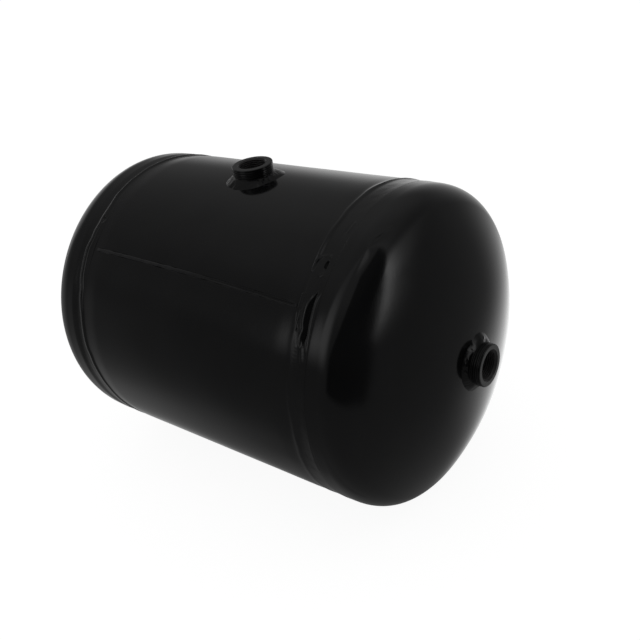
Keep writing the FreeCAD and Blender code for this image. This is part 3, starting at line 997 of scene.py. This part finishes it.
def cove():
    """A plain white floor that curves up into a plain white wall all round."""
    turn = np.linspace(-math.pi / 2, 0, COVE_BEND_ROWS)
    wall = COVE_FLAT + COVE_BEND
    radii = np.concatenate([COVE_RINGS, COVE_FLAT + COVE_BEND * np.cos(turn), [wall]])
    heights = np.concatenate([[0, 0], COVE_BEND + COVE_BEND * np.sin(turn), [COVE_TOP]])
    angles = np.linspace(0, 2 * math.pi, COVE_COLUMNS, endpoint=False)
    points = turned(TOP, heights[:, None], radii[:, None], angles)
    mesh = bpy.data.meshes.new("cove")
    faces = lattice_faces(len(radii), COVE_COLUMNS, closed_rows=False)
    mesh.from_pydata(points.reshape(-1, 3).tolist(), [], faces.tolist())
    mesh.shade_smooth()
    material, nodes, _ = new_material("white_floor")
    shader = nodes["Principled BSDF"]
    shader.inputs["Base Color"].default_value = COVE_COLOUR
    shader.inputs["Roughness"].default_value = COVE_ROUGHNESS
    shader.inputs["Specular IOR Level"].default_value = 0.0
    shader.inputs["Emission Color"].default_value = (1, 1, 1, 1)
    shader.inputs["Emission Strength"].default_value = COVE_GLOW
    material.cycles.emission_sampling = "NONE"
    mesh.materials.append(material)
    floor = bpy.data.objects.new("cove", mesh)
    floor.visible_glossy = False
    floor.visible_diffuse = False
    bpy.context.scene.collection.objects.link(floor)


def between(value, low, high, soft):
    """1 from low to high and 0 outside, with soft edges of this width centred on the two ends."""
    half = soft / 2
    return ease(value, low - half, low + half) * (1 - ease(value, high - half, high + half))


def studio_glow(azimuth, elevation):
    """Light that the gloss mirrors from each direction: a grey room with soft lights and a flag.

    Azimuth is in degrees from +X towards +Y, from -180 to 180, and elevation is up from level.
    """
    # The room is lighter high up and on the +Y side, and darker low down on the far -Y side
    room = 0.13 + 0.075 * ease(elevation, 30, 58)
    room = room + 0.035 * between(azimuth, 66, 160, 40) * ease(elevation, 0, 20)
    room = room - 0.025 * between(azimuth, -160, -122, 20) * (1 - ease(elevation, 10, 22))

    # A dark flag on the -Y side, taller towards the near box, where it ends
    flag_foot = -3 - 0.25 * (azimuth + 90)
    flag_head = np.minimum(33 + 0.86 * (azimuth + 75), 64)
    box_edge = np.where(elevation > 0, np.minimum(0.95 * elevation, 15), 0.38 * elevation)
    left_soft = 4 + 8 * ease(elevation, 12, 40)
    flag = between(elevation, flag_foot, flag_head, 6) * (1 - ease(azimuth, box_edge - 2, box_edge + 2))
    flag = flag * ease(azimuth, -91 - left_soft, -85)
    room = room * (1 - 0.76 * flag)

    # The near box is bright at its edge by the flag, and fades away from there and upwards
    from_edge = azimuth - box_edge
    box_fade = 5.2 + 5.0 * ease(elevation, 11, 19)
    past_edge = np.maximum(from_edge, 0)
    near_box = 0.74 * hump(past_edge, 0.75 * box_fade) + 0.26 * hump(past_edge, 2 * box_fade)
    near_box = 1.85 * near_box * ease(from_edge, -1.3, 1.3)
    near_box = near_box * ease(elevation, -5, 11) * (1 - 0.93 * ease(elevation, 8, 43))

    # A weaker box on the far side of the flag
    side_box = (1 - ease(azimuth, -110, -93)) * ease(azimuth, -129.5, -121.5)
    side_box = 0.58 * side_box * ease(elevation, 6, 23) * (1 - 0.85 * ease(elevation, 27, 64))

    # A sweep of light from low down on the +Y side
    sweep = 1.15 * ease(azimuth, 25, 102) ** 1.6 * hump(elevation + 37, 10)
    sweep += 0.46 * ease(azimuth, 62, 104) * between(elevation, -38, 12, 44)
    sweep *= 1 - ease(azimuth, 112, 138)

    # Light from low down behind the far head, and a slanting box above it
    behind = ease(np.abs(azimuth), 108, 128) * between(elevation, -46, 8, 20)
    behind = 0.32 * behind * (1 - ease(azimuth, -164, -132) * (azimuth < 0))
    behind = behind * (1 - 0.55 * ease(azimuth % 360, 150, 175))
    from_back = azimuth % 360 - 142
    rear_box = between(from_back, 10, 44, 12) * (1 - ease(elevation, from_back - 6, from_back + 8))
    rear_box = 0.35 * rear_box * between(elevation, -4, 24, 12)

    # A box almost overhead, on the near -Y side
    ceiling = 0.30 * between(azimuth, -72, -12, 16) * ease(elevation, 68, 80)
    return room + near_box + side_box + sweep + behind + rear_box + ceiling


def studio():
    """A dome round the tank that only the gloss sees, bright as studio_glow says."""
    # One vertex a degree
    azimuth, elevation = np.meshgrid(np.arange(-180, 180), np.arange(-90, 91))
    a, e = np.radians(azimuth), np.radians(elevation)
    points = np.stack([np.cos(a) * np.cos(e), np.sin(a) * np.cos(e), np.sin(e)], axis=-1) * DOME_R
    points = points + np.array([0, 0, AXIS_Z])
    mesh = bpy.data.meshes.new("studio")
    rows, columns = azimuth.shape
    faces = lattice_faces(rows, columns, closed_rows=False)
    mesh.from_pydata(points.reshape(-1, 3).tolist(), [], faces.tolist())
    colours = np.ones((azimuth.size, 4))
    colours[:, :3] = studio_glow(azimuth, elevation).reshape(-1, 1)
    mesh.attributes.new("glow", "FLOAT_COLOR", "POINT").data.foreach_set("color", colours.ravel())
    material, nodes, links = new_material("studio_glow")
    nodes.remove(nodes["Principled BSDF"])
    shine = nodes.new("ShaderNodeEmission")
    glow = nodes.new("ShaderNodeAttribute")
    glow.attribute_name = "glow"
    links.new(glow.outputs["Color"], shine.inputs["Color"])
    links.new(shine.outputs["Emission"], nodes["Material Output"].inputs["Surface"])
    material.cycles.emission_sampling = "NONE"
    mesh.materials.append(material)
    dome = bpy.data.objects.new("studio", mesh)
    dome.visible_camera = False
    dome.visible_diffuse = False
    dome.visible_transmission = False
    dome.visible_shadow = False
    bpy.context.scene.collection.objects.link(dome)


def lights():
    """A dim world, and a broad soft lamp from above that the gloss doesn't mirror."""
    world = bpy.data.worlds.new("studio")
    world.use_nodes = True
    world.node_tree.nodes["Background"].inputs["Color"].default_value = WORLD_COLOUR
    bpy.context.scene.world = world
    lamp = bpy.data.lights.new("overhead", "SUN")
    lamp.energy = LAMP_STRENGTH
    lamp.angle = math.radians(LAMP_SPREAD_DEG)
    overhead = bpy.data.objects.new("overhead", lamp)
    overhead.rotation_euler = [math.radians(tilt) for tilt in LAMP_TILT_DEG]
    overhead.visible_glossy = False
    bpy.context.scene.collection.objects.link(overhead)


# Scene

bpy.context.scene.view_settings.view_transform = "Standard"
camera()
cove()
studio()
lights()

shell()
seam_weld()
head("near_dished_head", "near_head", BODY, 21, SCUFFS)
head("far_dished_head", "far_head", FAR_BODY, 22, [])
girth_weld("near_girth_bead", "near_girth_weld", BODY, 31, near_joint, NEAR_MARKS, slot=True)
girth_weld("far_girth_bead", "far_girth_weld", FAR_BODY, 41, far_joint, FAR_MARKS)

# Name, node, axis, inner end, face, mouth's bevel, depth of the turning's grooves, seed
PORTS = [
    ("top_boss", "top_port", TOP, TOP_LOW.z, TOP_HIGH.z, 0.9 * MM, 0.26 * MM, 81),
    ("near_boss", "near_port", BODY, NEAR_LOW.x, NEAR_HIGH.x, 1.8 * MM, 0.10 * MM, 82),
    ("far_boss", "far_port", FAR_BODY, NEAR_LOW.x, NEAR_HIGH.x, 1.8 * MM, 0.10 * MM, 83),
]
for boss in PORTS:
    port(*boss)

# Name, node, axis, seed, surface, reach, lobes, lumps
FILLETS = [
    ("top_boss_fillet", "top_port_weld", TOP, 51, shell_surface, TOP_REACH, TOP_LOBES, TOP_LUMPS),
    ("near_boss_fillet", "near_port_weld", BODY, 61, crown_surface, HEAD_REACH, NEAR_LOBES, NEAR_LUMPS),
    ("far_boss_fillet", "far_port_weld", FAR_BODY, 71, crown_surface, HEAD_REACH, FAR_LOBES, FAR_LUMPS),
]
for fillet in FILLETS:
    port_weld(*fillet)
